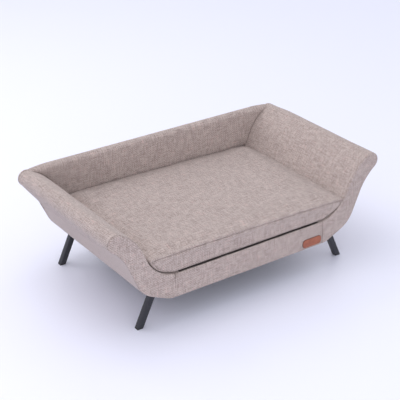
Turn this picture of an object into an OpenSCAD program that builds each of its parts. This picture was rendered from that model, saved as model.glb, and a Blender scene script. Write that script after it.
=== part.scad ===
// Pet sofa bed: a padded tub on four splayed steel legs, with a lift-out seat cushion.
// Origin on the floor under the middle of the bed. +X right, +Y back, +Z up, millimetres.

/* [Overall] */
// width over the arm rolls
width = 804; // [700:2:900]
// label on the front rail to back cover
depth = 439.8; // [400:0.1:520]
// floor to the top of the arms and back
height = 284.7; // [260:0.1:320]
// floor to the flat underside
clearance_z = 71.7; // [60:0.1:110]

/* [Tub] */
// floor to the deck the cushion lies on
deck_z = 136.2; // [125:0.1:160]
// half width of the flat deck
deck_half = 212; // [190:1:225]
// radius where the deck turns up into the arms
tub_r = 95.5; // [60:0.5:110]
// slope of the arms from the horizontal
lean = 67; // [60:1:75]
// radius of the arm rolls
roll_r = 22.3; // [20:0.1:30]

/* [Underside] */
// half width of the flat underside
flat_half = 225; // [215:1:240]
// radius between the flat underside and the leg facet
low_r = 60; // [40:1:80]
// radius between the leg facet and the arm side
high_r = 75; // [50:1:90]
// length of the flat facet that carries the leg plates
facet_len = 42; // [42:1:60]
// tilt of that facet, and of the legs
splay = 24.5; // [15:0.5:30]

/* [Cushion] */
// floor to the top seam of the cushion
cushion_top = 190.6; // [180:0.1:215]
// gap between cushion and tub
cushion_gap = 0.8; // [0.5:0.1:2]
// half length of the zip
zip_half = 240; // [150:5:240]

/* [Layers] */
// upholstery fabric
cloth = 1.5; // [0.8:0.1:2]
// plywood boards front and back
board = 8; // [6:1:12]
// foam on the inside of the arms
arm_foam = 12; // [8:0.5:20]
// foam of the back
back_foam_t = 11.9; // [8:0.1:30]

/* [Legs] */
// outside of the square tube
leg_size = 14; // [12:0.5:20]
// wall of the tube
leg_wall = 1.5; // [1:0.1:2.5]
// feet, in from the front facing and the back cover
foot_inset = 33; // [32:1:60]

/* [Hidden] */
$fn = 32;
step_a = 7;
seam = 0.01;
reach = 1000;

label_t = 1.8;
front_y = -depth / 2 + label_t;
back_y = depth / 2;
wadding = 4.5;
board_front_y = front_y + cloth + wadding;
frame_front_y = board_front_y + board;
back_wadding_t = 2.5;
arm_back_y = back_y - cloth - back_wadding_t - board;
board_back_y = arm_back_y + board;
back_face_y = arm_back_y - back_foam_t - cloth;

function dir(a) = [cos(a), sin(a)];
function right_of(a) = [sin(a), -cos(a)];
function cross2(a, b) = a.x * b.y - a.y * b.x;
function arc(c, r, a0, a1) =
    let (n = max(1, ceil(abs(a1 - a0) / step_a)))
    [for (i = [0:n]) c + r * dir(a0 + (a1 - a0) * i / n)];
function chord(from, to, h0, h1) = cross2(to - from, dir(h0)) / sin((h0 - h1) / 2);
function bend_r(c, h0, h1) = c / (2 * sin((h0 - h1) / 2));
function mirrored(p) = [for (i = [len(p) - 1:-1:0]) [-p[i].x, p[i].y]];

// arm roll and the two bends that run into it
roll_c = [width / 2 - roll_r, height - roll_r];
inner_h = 27;
outer_h = 38;
inner_end = roll_c - roll_r * right_of(inner_h);
outer_end = roll_c + roll_r * right_of(outer_h);

// inner face of the arm
tub_c = [deck_half, deck_z + tub_r];
tub_end = tub_c + tub_r * dir(lean - 90);
inner_chord = chord(tub_end, inner_end, lean, inner_h);
inner_r = bend_r(inner_chord, lean, inner_h);
inner_c = inner_end + inner_r * right_of(inner_h);

// outer face of the arm
low_c = [flat_half, clearance_z + low_r];
facet_start = low_c + low_r * dir(splay - 90);
facet_end = facet_start + facet_len * dir(splay);
facet_mid = facet_start + facet_len / 2 * dir(splay);
high_c = facet_end - high_r * right_of(splay);
side_start = high_c + high_r * dir(lean - 90);
outer_chord = chord(side_start, outer_end, lean, outer_h);
outer_r = bend_r(outer_chord, lean, outer_h);
outer_c = outer_end + outer_r * right_of(outer_h);

// right half of the padded outline, d inside its surface
function under_line(d, x) = [[x, clearance_z + d]];
function outer_path(d) = concat(
    arc(low_c, low_r - d, -90, splay - 90),
    arc(high_c, high_r - d, splay - 90, lean - 90),
    arc(outer_c, outer_r + d, lean + 90, outer_h + 90));
function roll_path(d, top) = arc(roll_c, roll_r - d, outer_h - 90, top);
function inner_path(d) = concat(
    arc(inner_c, inner_r - d, inner_h + 90, lean + 90),
    arc(tub_c, tub_r + d, lean - 90, -90));
function reversed(p) = [for (i = [len(p) - 1:-1:0]) p[i]];

function band_half(d) = concat(outer_path(d), roll_path(d, inner_h + 90), inner_path(d));
function full_half(d) = concat(outer_path(d), roll_path(d, 90));
function tub_half(d) = concat(reversed(inner_path(d)), arc(roll_c, roll_r - d, inner_h + 90, 90));
function slope_x(z, d) = tub_end.x + (z - tub_end.y) / tan(lean) + d / sin(lean);

module band(d) { polygon(concat(band_half(d), mirrored(band_half(d)))); }
module full(d) { polygon(concat(full_half(d), mirrored(full_half(d)))); }
module strip(a, b) { polygon(concat(a, reversed(b))); }

// line on the arm's outer side where the arm cover ends, as places of y and z
crease_z = 179;
crease_front = [[-reach, 241], [front_y, 241], [-170, 221], [-121, 200], [-60, 185.5], [0, crease_z]];
module above_crease() {
    rotate([90, 0, 90])
        linear_extrude(height = reach)
            polygon(concat(crease_front, [[reach, crease_z], [reach, reach], [-reach, reach]]));
}
module below_crease() {
    rotate([90, 0, 90])
        linear_extrude(height = reach)
            polygon(concat(crease_front, [[reach, crease_z], [reach, -reach], [-reach, -reach]]));
}
module outside_arm() {
    polygon(concat(outer_path(2 * cloth), [[reach, outer_end.y], [reach, -reach], [flat_half, -reach]]));
}

// push a drawing of x and z from y0 to y1
module along_y(y0, y1) {
    translate([0, y1, 0])
        rotate([90, 0, 0])
            linear_extrude(height = y1 - y0)
                children();
}
module left_side() { mirror([1, 0, 0]) children(); }
module block(x0, x1, y0, y1, z0, z1) {
    translate([x0, y0, z0])
        cube([x1 - x0, y1 - y0, z1 - z0]);
}

// timber
shell_t = 3;
shell_d = cloth + shell_t;
rail_in = 200;
deck_t = 9;
deck_pad_t = 10;
deck_board_top = deck_z - cloth - deck_pad_t;
deck_board_low = deck_board_top - deck_t;
joist_half = 12;
panel_t = 12;
panel_n = cloth + arm_foam;
panel_low = -64.8;
panel_high = 50;
fold_in = 200;
cover_t = 1;
block_len = 48;
// the wadding is wrapped round the back board's edge above this height
back_board_in = 8;
wrap_low = 130;

// place along the sloped wall: s up the slope, n into the arm
function wall(s, n) = tub_end + s * dir(lean) + n * right_of(lean);
// timber under the roll: from the panel's inner face, over the roll and back to its outer face
rail_points = [
    wall(panel_high, panel_n),
    roll_c + [-9, 11.5],
    roll_c + [11, 4],
    roll_c + [5, -11],
    wall(panel_high, panel_n + panel_t)];

// frame screws: places on the boards, right half
screw_r = 2;
screw_len = 40;
head_r = 4;
head_t = 2.5;
rail_screw = [212, 96];
joist_screw = [0, 96];
block_screw = [262, 114];
panel_screw_s = [-30, 30];
top_screw = roll_c + [-9, -3];
screw_places = concat(
    [rail_screw, block_screw, top_screw],
    [for (s = panel_screw_s) wall(s, panel_n + panel_t / 2)]);

module frame_screw(p, y, way) {
    translate([p.x, y, p.y])
        rotate([way * -90, 0, 0]) {
            cylinder(h = head_t, r = head_r);
            cylinder(h = screw_len, r = screw_r);
        }
}
module screw_set() {
    for (side = [1, -1], p = screw_places) {
        frame_screw([side * p.x, p.y], board_front_y, 1);
        frame_screw([side * p.x, p.y], board_back_y, -1);
    }
    frame_screw(joist_screw, board_front_y, 1);
    frame_screw(joist_screw, board_back_y, -1);
}

// staples that hold the dust cover
staple_w = 10;
staple_t = 1.2;
staple_crown = 0.6;
staple_deep = 6;
staple_side_x = 210;
staple_end_in = 11;
// first place, spacing and last place: along y at the sides, along x at the ends
side_staples = [-170:56:166];
end_staples = [-165:66:165];

module staple() {
    z0 = clearance_z - cover_t;
    block(-staple_w / 2, staple_w / 2, -staple_t / 2, staple_t / 2, z0 - staple_crown, z0);
    for (s = [-1, 1])
        translate([s * (staple_w - staple_crown) / 2, 0, 0])
            block(-staple_crown / 2, staple_crown / 2, -staple_t / 2, staple_t / 2,
                z0 - staple_crown, z0 + staple_deep);
}
module staple_set() {
    for (s = [-1, 1], y = side_staples)
        translate([s * staple_side_x, y, 0])
            rotate([0, 0, 90])
                staple();
    for (x = end_staples) {
        translate([x, front_y + staple_end_in, 0]) staple();
        translate([x, arm_back_y + board / 2, 0]) staple();
    }
}

// legs, drawn in a frame on the facet with -Z running down the leg
front_leg_y = front_y + foot_inset;
rear_leg_y = back_y - foot_inset;
plate_w = 42;
plate_t = 3;
plate_screw_x = 13;
plate_screw_y = 14;
leg_screw_r = 2;
leg_screw_len = 22;
leg_head_r = 3.8;
leg_head_t = 1.8;
sole_t = 3;
cap_plug = 14;

module at_leg(y) {
    translate([facet_mid.x, y, facet_mid.y])
        rotate([0, -splay, 0])
            children();
}
module upright(size, z0, z1) {
    translate([-size / 2, -size / 2, z0])
        cube([size, size, z1 - z0]);
}
module above_floor(z) { block(-reach, reach, -reach, reach, z, z + reach); }
module leg_screw_at(y) {
    at_leg(y)
        for (sx = [-1, 1], sy = [-1, 1])
            translate([sx * plate_screw_x, sy * plate_screw_y, -plate_t]) {
                translate([0, 0, -leg_head_t])
                    cylinder(h = leg_head_t, r = leg_head_r);
                cylinder(h = leg_screw_len, r = leg_screw_r);
            }
}
module leg_screw_set() {
    for (y = [front_leg_y, rear_leg_y]) {
        leg_screw_at(y);
        left_side() leg_screw_at(y);
    }
}
module leg(y) {
    difference() {
        intersection() {
            at_leg(y) {
                upright(leg_size, -reach / 5, -plate_t / 2);
                upright(plate_w, -plate_t, 0);
            }
            above_floor(sole_t);
        }
        at_leg(y)
            upright(leg_size - 2 * leg_wall, -reach / 5, -plate_t);
        leg_screw_at(y);
    }
}
module foot(y) {
    intersection() {
        at_leg(y)
            upright(leg_size, -reach / 5, 0);
        block(-reach, reach, -reach, reach, 0, sole_t);
    }
    intersection() {
        at_leg(y)
            upright(leg_size - 2 * leg_wall, -reach / 5, 0);
        block(-reach, reach, -reach, reach, sole_t - seam, sole_t + cap_plug);
    }
}

// one side's timber, foam and cloth, drawn on the right
module leg_block(y0, y1) {
    difference() {
        along_y(y0, y1)
            intersection() {
                polygon(concat(
                    arc(low_c, low_r - shell_d, -90, splay - 90),
                    arc(high_c, high_r - shell_d, splay - 90, lean - 90),
                    [[flat_half, side_start.y]]));
                square([reach, deck_board_top]);
            }
        screw_set();
        leg_screw_set();
    }
}
module base_rail() {
    difference() {
        block(rail_in, flat_half, frame_front_y, arm_back_y,
            clearance_z + shell_d, deck_board_low);
        screw_set();
        staple_set();
    }
}
module arm_panel() {
    difference() {
        along_y(frame_front_y, arm_back_y)
            polygon([wall(panel_low, panel_n), wall(panel_low, panel_n + panel_t),
                wall(panel_high, panel_n + panel_t), wall(panel_high, panel_n)]);
        screw_set();
    }
}
module arm_top_rail() {
    difference() {
        along_y(frame_front_y, arm_back_y)
            polygon(rail_points);
        screw_set();
    }
}
module side_shell() {
    difference() {
        along_y(frame_front_y, arm_back_y)
            strip(concat(under_line(cloth, rail_in), outer_path(cloth)),
                concat(under_line(shell_d, rail_in), outer_path(shell_d)));
        leg_screw_set();
        staple_set();
    }
}
module side_cover() {
    difference() {
        along_y(front_y + cloth, arm_back_y)
            strip(concat(under_line(0, fold_in), outer_path(0)),
                concat(under_line(cloth, fold_in), outer_path(cloth)));
        leg_screw_set();
        staple_set();
        above_crease();
    }
}
module arm_cover() {
    difference() {
        along_y(front_y + cloth, arm_back_y)
            strip(concat(outer_path(0), roll_path(0, inner_h + 90), inner_path(0)),
                concat(outer_path(cloth), roll_path(cloth, inner_h + 90), inner_path(cloth)));
        intersection() {
            along_y(-reach, reach) outside_arm();
            below_crease();
        }
    }
}
module arm_foam_part() {
    along_y(frame_front_y, arm_back_y)
        polygon(concat(
            roll_path(cloth, inner_h + 90),
            inner_path(cloth),
            [[deck_half, deck_board_top], [wall(panel_low, panel_n).x, deck_board_top]],
            [wall(panel_low, panel_n)],
            [rail_points[0], rail_points[1], rail_points[2], rail_points[3]],
            [roll_c + (roll_r - shell_d) * dir(outer_h - 90)]));
}
module front_facing() {
    along_y(front_y, front_y + cloth)
        intersection() {
            band(0);
            translate([flat_half, 0])
                square([reach, reach]);
        }
}

/* ---- timber frame ---- */
module back_board_outline() {
    full(back_board_in);
    intersection() {
        full(cloth);
        translate([-reach, 0])
            square([2 * reach, wrap_low]);
    }
}
module front_board() color("BurlyWood") {
    difference() {
        along_y(board_front_y, frame_front_y) band(cloth);
        screw_set();
        staple_set();
    }
}
module back_board() color("BurlyWood") {
    difference() {
        along_y(arm_back_y, board_back_y) back_board_outline();
        screw_set();
        staple_set();
    }
}
module deck_board() color("BurlyWood")
    block(-flat_half, flat_half, frame_front_y, arm_back_y, deck_board_low, deck_board_top);
module centre_joist() color("Tan") {
    difference() {
        block(-joist_half, joist_half, frame_front_y, arm_back_y, clearance_z, deck_board_low);
        screw_set();
    }
}
module left_base_rail() color("Tan") left_side() base_rail();
module right_base_rail() color("Tan") base_rail();
module front_left_leg_block() color("Peru")
    left_side() leg_block(frame_front_y, frame_front_y + block_len);
module front_right_leg_block() color("Peru")
    leg_block(frame_front_y, frame_front_y + block_len);
module rear_left_leg_block() color("Peru") left_side() leg_block(arm_back_y - block_len, arm_back_y);
module rear_right_leg_block() color("Peru") leg_block(arm_back_y - block_len, arm_back_y);
module left_arm_panel() color("BurlyWood") left_side() arm_panel();
module right_arm_panel() color("BurlyWood") arm_panel();
module left_arm_top_rail() color("Tan") left_side() arm_top_rail();
module right_arm_top_rail() color("Tan") arm_top_rail();
module left_side_shell() color("Sienna") left_side() side_shell();
module right_side_shell() color("Sienna") side_shell();
module frame_screws() color("Silver") screw_set();

/* ---- padding ---- */
module front_wadding() color("WhiteSmoke")
    along_y(front_y + cloth, board_front_y) band(cloth);
module back_wadding() color("WhiteSmoke") {
    along_y(board_back_y, back_y - cloth) full(cloth);
    along_y(arm_back_y, board_back_y + seam)
        difference() {
            full(cloth);
            back_board_outline();
        }
}
module left_arm_foam() color("Khaki") left_side() arm_foam_part();
module right_arm_foam() color("Khaki") arm_foam_part();
module deck_pad() color("Khaki")
    block(-deck_half, deck_half, frame_front_y, arm_back_y,
        deck_board_top, deck_board_top + deck_pad_t);
module back_foam() color("Khaki")
    along_y(back_face_y + cloth, arm_back_y)
        polygon(concat(tub_half(0), mirrored(tub_half(0))));

/* ---- covers ---- */
module left_arm_cover() color("RosyBrown") left_side() arm_cover();
module right_arm_cover() color("RosyBrown") arm_cover();
module left_side_cover() color("Thistle") left_side() side_cover();
module right_side_cover() color("Thistle") side_cover();
module left_front_facing() color("RosyBrown") left_side() front_facing();
module right_front_facing() color("RosyBrown") front_facing();
module front_rail_facing() color("RosyBrown") {
    difference() {
        union() {
            along_y(front_y, front_y + cloth)
                intersection() {
                    band(0);
                    translate([-flat_half, 0])
                        square([2 * flat_half, reach]);
                }
            block(-fold_in, fold_in, front_y + cloth - seam, frame_front_y,
                clearance_z, clearance_z + cloth);
        }
        staple_set();
    }
}
module back_inner_cover() color("RosyBrown")
    along_y(back_face_y, back_face_y + cloth)
        polygon(concat(tub_half(0), mirrored(tub_half(0))));
module back_outer_cover() color("RosyBrown") {
    difference() {
        union() {
            along_y(back_y - cloth, back_y) full(0);
            along_y(arm_back_y, back_y - cloth + seam)
                difference() {
                    full(0);
                    full(cloth);
                }
        }
        staple_set();
    }
}
module deck_cover() color("DimGray")
    block(-deck_half, deck_half, front_y + cloth, arm_back_y, deck_z - cloth, deck_z);
module dust_cover() color("DarkSlateGray") {
    difference() {
        block(-staple_side_x - 5, staple_side_x + 5, front_y + 6, board_back_y,
            clearance_z - cover_t, clearance_z);
        staple_set();
    }
}
module dust_cover_staples() color("Silver") staple_set();

// leather tab sewn on the front rail
label_x = 190;
label_w = 60;
label_h = 23;
label_z = 90;
label_r = 7;
label_half = concat(
    arc([label_w / 2 - label_r, label_r - label_h / 2], label_r, -90, 0),
    arc([label_w / 2 - label_r, label_h / 2 - label_r], label_r, 0, 90));
module leather_label() color("Brown")
    along_y(front_y - label_t, front_y)
        translate([label_x, label_z])
            polygon(concat(label_half, mirrored(label_half)));

/* ---- legs ---- */
module front_left_leg() color("DimGray") left_side() leg(front_leg_y);
module front_right_leg() color("DimGray") leg(front_leg_y);
module rear_left_leg() color("DimGray") left_side() leg(rear_leg_y);
module rear_right_leg() color("DimGray") leg(rear_leg_y);
module front_left_foot_cap() color("Black") left_side() foot(front_leg_y);
module front_right_foot_cap() color("Black") foot(front_leg_y);
module rear_left_foot_cap() color("Black") left_side() foot(rear_leg_y);
module rear_right_foot_cap() color("Black") foot(rear_leg_y);
module leg_screws() color("Silver") leg_screw_set();

/* ---- seat cushion ---- */
cushion_front_y = front_y + 1;
cushion_back_y = back_face_y - 1.5;
zip_z = 163;
groove_half = 5;
tape_half = 7;
groove_deep = 6.5;
tape_y = cushion_back_y - groove_deep;
tape_t = 1;
coil_half = 2.6;
coil_t = 1.5;
zip_end = 5;

// right half of the cushion outline, d inside its surface, cut off at the top
function cushion_half(d) =
    let (r = tub_r - cushion_gap - d, high = cushion_top + 10)
    concat(
        [[0, tub_c.y - r]],
        arc(tub_c, r, -90, lean - 90),
        [[slope_x(high, -cushion_gap - d), high]]);
module cushion_outline(d, top) {
    intersection() {
        polygon(concat(cushion_half(d), mirrored(cushion_half(d))));
        translate([-reach, 0])
            square([2 * reach, top]);
    }
}
module groove(half, y0, y1) {
    block(-zip_half - zip_end, zip_half + zip_end, y0, y1, zip_z - half, zip_z + half);
}
module back_panel_piece(z0, z1) {
    intersection() {
        along_y(cushion_back_y - cloth, cushion_back_y) cushion_outline(0, cushion_top);
        block(-reach, reach, -reach, reach, z0, z1);
    }
}
module seat_cushion_foam() color("Khaki") {
    difference() {
        along_y(cushion_front_y + cloth, cushion_back_y - cloth)
            cushion_outline(cloth, cushion_top - cloth);
        groove(tape_half, tape_y, cushion_back_y);
    }
}
module seat_cushion_top_panel() color("RosyBrown")
    along_y(cushion_front_y + cloth, cushion_back_y - cloth)
        intersection() {
            cushion_outline(cloth, cushion_top);
            translate([-reach, cushion_top - cloth])
                square([2 * reach, cloth]);
        }
module seat_cushion_base_panel() color("RosyBrown")
    along_y(cushion_front_y + cloth, cushion_back_y - cloth)
        difference() {
            cushion_outline(0, cushion_top);
            cushion_outline(cloth, cushion_top + 1);
        }
module seat_cushion_front_panel() color("RosyBrown")
    along_y(cushion_front_y, cushion_front_y + cloth) cushion_outline(0, cushion_top);
module seat_cushion_back_panel_upper() color("RosyBrown") {
    difference() {
        back_panel_piece(zip_z, cushion_top);
        groove(groove_half, -reach, reach);
    }
    block(-zip_half - zip_end, zip_half + zip_end, tape_y + tape_t, cushion_back_y - cloth + seam,
        zip_z + groove_half, zip_z + tape_half);
}
module seat_cushion_back_panel_lower() color("RosyBrown") {
    difference() {
        back_panel_piece(deck_z, zip_z);
        groove(groove_half, -reach, reach);
    }
    block(-zip_half - zip_end, zip_half + zip_end, tape_y + tape_t, cushion_back_y - cloth + seam,
        zip_z - tape_half, zip_z - groove_half);
}
module zip_tape() color("Gray")
    groove(tape_half, tape_y, tape_y + tape_t);
module zip_coil() color("DimGray")
    block(-zip_half, zip_half, tape_y + tape_t, tape_y + tape_t + coil_t,
        zip_z - coil_half, zip_z + coil_half);

// slider over the coil, with its pull lying flat along the zip
slider_len = 11;
slider_half = 4.2;
slider_gap = 0.4;
slider_y0 = tape_y + tape_t + slider_gap;
slider_roof_y = tape_y + tape_t + coil_t + slider_gap;
slider_roof_t = 1;
pull_len = 20;
pull_half = 2.5;
pull_t = 1;
slider_home = zip_half - slider_len / 2 - 3;
module zip_slider() color("Silver")
    translate([slider_home, 0, zip_z]) {
        difference() {
            block(-slider_len / 2, slider_len / 2, slider_y0, slider_roof_y + slider_roof_t,
                -slider_half, slider_half);
            block(-slider_len, slider_len, slider_y0 - 1, slider_roof_y,
                -coil_half - slider_gap, coil_half + slider_gap);
        }
        block(-2, 2, slider_roof_y + slider_roof_t - seam, slider_roof_y + slider_roof_t + 0.6, -1, 1);
    }
module zip_pull() color("Silver")
    translate([slider_home, 0, zip_z])
        block(-pull_len, 3, slider_roof_y + slider_roof_t + 0.6,
            slider_roof_y + slider_roof_t + 0.6 + pull_t, -pull_half, pull_half);

front_board();
back_board();
deck_board();
centre_joist();
left_base_rail();
right_base_rail();
front_left_leg_block();
front_right_leg_block();
rear_left_leg_block();
rear_right_leg_block();
left_arm_panel();
right_arm_panel();
left_arm_top_rail();
right_arm_top_rail();
left_side_shell();
right_side_shell();
frame_screws();
front_wadding();
back_wadding();
left_arm_foam();
right_arm_foam();
deck_pad();
back_foam();
left_arm_cover();
right_arm_cover();
left_side_cover();
right_side_cover();
left_front_facing();
right_front_facing();
front_rail_facing();
back_inner_cover();
back_outer_cover();
deck_cover();
dust_cover();
dust_cover_staples();
leather_label();
front_left_leg();
front_right_leg();
rear_left_leg();
rear_right_leg();
front_left_foot_cap();
front_right_foot_cap();
rear_left_foot_cap();
rear_right_foot_cap();
leg_screws();
seat_cushion_foam();
seat_cushion_top_panel();
seat_cushion_base_panel();
seat_cushion_front_panel();
seat_cushion_back_panel_upper();
seat_cushion_back_panel_lower();
zip_tape();
zip_coil();
zip_slider();
zip_pull();
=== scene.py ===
import math

import bmesh
import bpy
import numpy as np
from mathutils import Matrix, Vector, kdtree, noise
from mathutils.geometry import delaunay_2d_cdt


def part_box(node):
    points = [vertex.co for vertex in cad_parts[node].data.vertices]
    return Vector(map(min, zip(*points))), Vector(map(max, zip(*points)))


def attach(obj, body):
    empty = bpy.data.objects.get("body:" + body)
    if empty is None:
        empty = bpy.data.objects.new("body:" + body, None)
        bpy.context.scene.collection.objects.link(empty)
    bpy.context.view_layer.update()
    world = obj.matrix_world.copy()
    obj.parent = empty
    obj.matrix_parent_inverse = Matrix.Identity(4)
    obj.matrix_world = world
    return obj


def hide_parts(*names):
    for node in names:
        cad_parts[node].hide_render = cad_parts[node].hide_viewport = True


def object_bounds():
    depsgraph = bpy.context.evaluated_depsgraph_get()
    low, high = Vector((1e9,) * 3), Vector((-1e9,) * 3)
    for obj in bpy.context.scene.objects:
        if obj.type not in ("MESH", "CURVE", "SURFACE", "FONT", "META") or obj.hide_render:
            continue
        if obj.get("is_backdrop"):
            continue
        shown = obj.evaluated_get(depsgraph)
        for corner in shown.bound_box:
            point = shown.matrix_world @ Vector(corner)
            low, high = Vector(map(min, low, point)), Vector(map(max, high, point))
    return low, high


# The looks of a pet sofa, in metres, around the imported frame: x runs to its right, y to its back, z up.
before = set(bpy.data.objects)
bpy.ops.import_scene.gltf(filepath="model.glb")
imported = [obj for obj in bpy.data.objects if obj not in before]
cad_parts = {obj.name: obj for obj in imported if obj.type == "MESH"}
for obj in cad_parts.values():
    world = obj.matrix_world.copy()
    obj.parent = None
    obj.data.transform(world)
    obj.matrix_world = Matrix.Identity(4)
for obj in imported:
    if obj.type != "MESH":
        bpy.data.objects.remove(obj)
cad_low, cad_high = (list(v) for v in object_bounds())
scene = bpy.context.scene
mm = 0.001

# ---------------------------------------------------------------- outline of the frame, in x and z
front_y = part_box("front_rail_facing")[0].y
back_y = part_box("back_outer_cover")[1].y
arm_back_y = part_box("left_arm_cover")[1].y
back_face_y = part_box("back_inner_cover")[0].y
deck_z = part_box("deck_cover")[1].z
deck_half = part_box("deck_cover")[1].x
flat_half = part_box("front_rail_facing")[1].x
clear_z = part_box("front_rail_facing")[0].z
half_w, height = cad_high[0], cad_high[2]
cloth = 1.5 * mm
# radii of the tub's corner, the roll and the two bends under the arm, and the flat between those bends
tub_r, roll_r, low_r, high_r, facet_len = (v * mm for v in (95.5, 22.3, 60, 75, 42))
# slopes in degrees: the arm's wall, the flat under it, and the two faces where they meet the roll
lean, splay, inner_h, outer_h = 67, 24.5, 27, 38


def heading(a):
    """Unit vector at an angle in degrees from x."""
    return np.array([math.cos(math.radians(a)), math.sin(math.radians(a))])


def right_of(a):
    """Unit vector to the right of a heading in degrees."""
    return np.array([math.sin(math.radians(a)), -math.cos(math.radians(a))])


def bend(a, b, h0, h1):
    """Radius of the arc from a to b whose heading turns from h0 to h1."""
    d, h = b - a, heading(h0)
    s = math.sin(math.radians((h0 - h1) / 2))
    return (d[0] * h[1] - d[1] * h[0]) / s / (2 * s)


def arc(c, r, a0, a1, n):
    t = np.radians(np.linspace(a0, a1, n + 1))
    return np.c_[c[0] + r * np.cos(t), c[1] + r * np.sin(t)]


def line(a, b, n):
    t = np.linspace(0, 1, n + 1)[:, None]
    return np.array(a) * (1 - t) + np.array(b) * t


roll_c = np.array([half_w - roll_r, height - roll_r])
inner_end = roll_c - roll_r * right_of(inner_h)
outer_end = roll_c + roll_r * right_of(outer_h)
tub_c = np.array([deck_half, deck_z + tub_r])
tub_end = tub_c + tub_r * heading(lean - 90)
inner_r = bend(tub_end, inner_end, lean, inner_h)
inner_c = inner_end + inner_r * right_of(inner_h)
low_c = np.array([flat_half, clear_z + low_r])
facet_0 = low_c + low_r * heading(splay - 90)
facet_1 = facet_0 + facet_len * heading(splay)
high_c = facet_1 - high_r * right_of(splay)
side_start = high_c + high_r * heading(lean - 90)
outer_r = bend(side_start, outer_end, lean, outer_h)
outer_c = outer_end + outer_r * right_of(outer_h)


def outer(d):
    """Outer outline, from the flat underside up to the crease under the roll, d inside the surface."""
    a = arc(low_c, low_r - d, -90, splay - 90, 9)
    b = arc(high_c, high_r - d, splay - 90, lean - 90, 18)
    c = arc(outer_c, outer_r + d, lean + 90, outer_h + 90, 36)
    return np.vstack([a, line(a[-1], b[0], 12)[1:-1], b, c[1:]])


def roll(d):
    """The roll's outline, from under its outer side over its top to the arm's inner face."""
    return arc(roll_c, roll_r - d, outer_h - 90, inner_h + 90, 24)


def inner(d):
    """Inner outline, from the roll down to the deck."""
    a = arc(inner_c, inner_r - d, inner_h + 90, lean + 90, 34)
    return np.vstack([a, arc(tub_c, tub_r + d, lean - 90, -90, 34)[1:]])


def flip(p):
    """The same outline on the other side, run the other way."""
    return np.array(p)[::-1] * [-1, 1]


def joined(*parts):
    """One polyline, without the points that two parts share."""
    out = np.vstack(parts)
    keep = np.r_[True, np.linalg.norm(np.diff(out, axis=0), axis=1) > 1e-6]
    out = out[keep]
    return out[:-1] if np.linalg.norm(out[0] - out[-1]) < 1e-6 else out


def evened(p, step, closed=True):
    """The same polyline with its points a step apart, corners kept."""
    out = []
    pts = list(p) + ([p[0]] if closed else [])
    for a, b in zip(pts[:-1], pts[1:]):
        n = max(1, int(round(np.linalg.norm(b - a) / step)))
        out += [a + (b - a) * i / n for i in range(n)]
    if not closed:
        out.append(pts[-1])
    return np.array(out)


# ---------------------------------------------------------------- mesh building
def smooth_step(x):
    x = np.clip(x, 0, 1)
    return x * x * (3 - 2 * x)


def bell(x, width):
    """1 at x = 0, falling off smoothly to both sides."""
    return np.exp(-((x / width) ** 2))


def round_over(d, r):
    """How far an edge rounded to radius r falls back at a distance d inside it."""
    return r - np.sqrt(np.maximum(r * r - np.maximum(r - d, 0) ** 2, 0))


def edge_distance(p, loop, used=None):
    """Distance of each point from a closed outline, or from only those of its edges that are used."""
    a, b = loop, np.roll(loop, -1, axis=0)
    best = np.full(len(p), 1e9)
    for i in range(len(a)) if used is None else np.flatnonzero(used):
        d = b[i] - a[i]
        t = np.clip(((p - a[i]) @ d) / max(d @ d, 1e-18), 0, 1)
        best = np.minimum(best, np.linalg.norm(p - a[i] - t[:, None] * d, axis=1))
    return best


def inside(p, loop):
    """Which points lie inside a closed outline."""
    a, b = loop, np.roll(loop, -1, axis=0)
    hit = np.zeros(len(p), bool)
    for i in range(len(a)):
        cross = (a[i, 1] > p[:, 1]) != (b[i, 1] > p[:, 1])
        x = (b[i, 0] - a[i, 0]) * (p[:, 1] - a[i, 1]) / (b[i, 1] - a[i, 1] + 1e-15) + a[i, 0]
        hit ^= cross & (p[:, 0] < x)
    return hit


def inward(loop):
    """Unit normals of a closed outline, pointing inside it."""
    area = np.sum(loop[:, 0] * np.roll(loop[:, 1], -1) - np.roll(loop[:, 0], -1) * loop[:, 1])
    tangent = np.roll(loop, -1, axis=0) - np.roll(loop, 1, axis=0)
    tangent /= np.linalg.norm(tangent, axis=1)[:, None]
    return np.c_[-tangent[:, 1], tangent[:, 0]] * np.sign(area)


def patch(loop, rings, step):
    """Triangles that fill an outline, with rows of points gathered along its edge.

    Returns the points, the outline's own first, the faces and each point's distance from the edge."""
    normal = inward(loop)
    points = [loop]
    for d in rings:
        q = loop + normal * d
        q = q[inside(q, loop)]
        points.append(q[edge_distance(q, loop) > d * 0.96])
    low, high = loop.min(axis=0), loop.max(axis=0)
    # a triangular grid fills what the rows leave
    gx, gz = np.meshgrid(np.arange(low[0], high[0], step), np.arange(low[1], high[1], step * 0.87))
    gx = gx + (np.arange(gx.shape[0]) % 2)[:, None] * step / 2
    g = np.c_[gx.ravel(), gz.ravel()]
    g = g[inside(g, loop)]
    points.append(g[edge_distance(g, loop) > rings[-1] + step * 0.6])
    p = np.vstack(points)
    n = len(loop)
    made = delaunay_2d_cdt([Vector(q) for q in p], [], [list(range(n))], 1, 1e-7)
    out = np.array([v[:] for v in made[0]])
    return out, [list(f) for f in made[2]], edge_distance(out, loop)


def grid(low, high, nx, ny):
    """Points of a level grid at z = 0, row by row, and its square faces."""
    x, y = np.meshgrid(np.linspace(low[0], high[0], nx + 1), np.linspace(low[1], high[1], ny + 1))
    faces = [[j * (nx + 1) + i, j * (nx + 1) + i + 1, (j + 1) * (nx + 1) + i + 1, (j + 1) * (nx + 1) + i]
             for j in range(ny) for i in range(nx)]
    return np.c_[x.ravel(), y.ravel(), np.zeros(x.size)], faces


def linked(name, data):
    """A new object in the scene."""
    obj = bpy.data.objects.new(name, data)
    scene.collection.objects.link(obj)
    return obj


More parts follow.
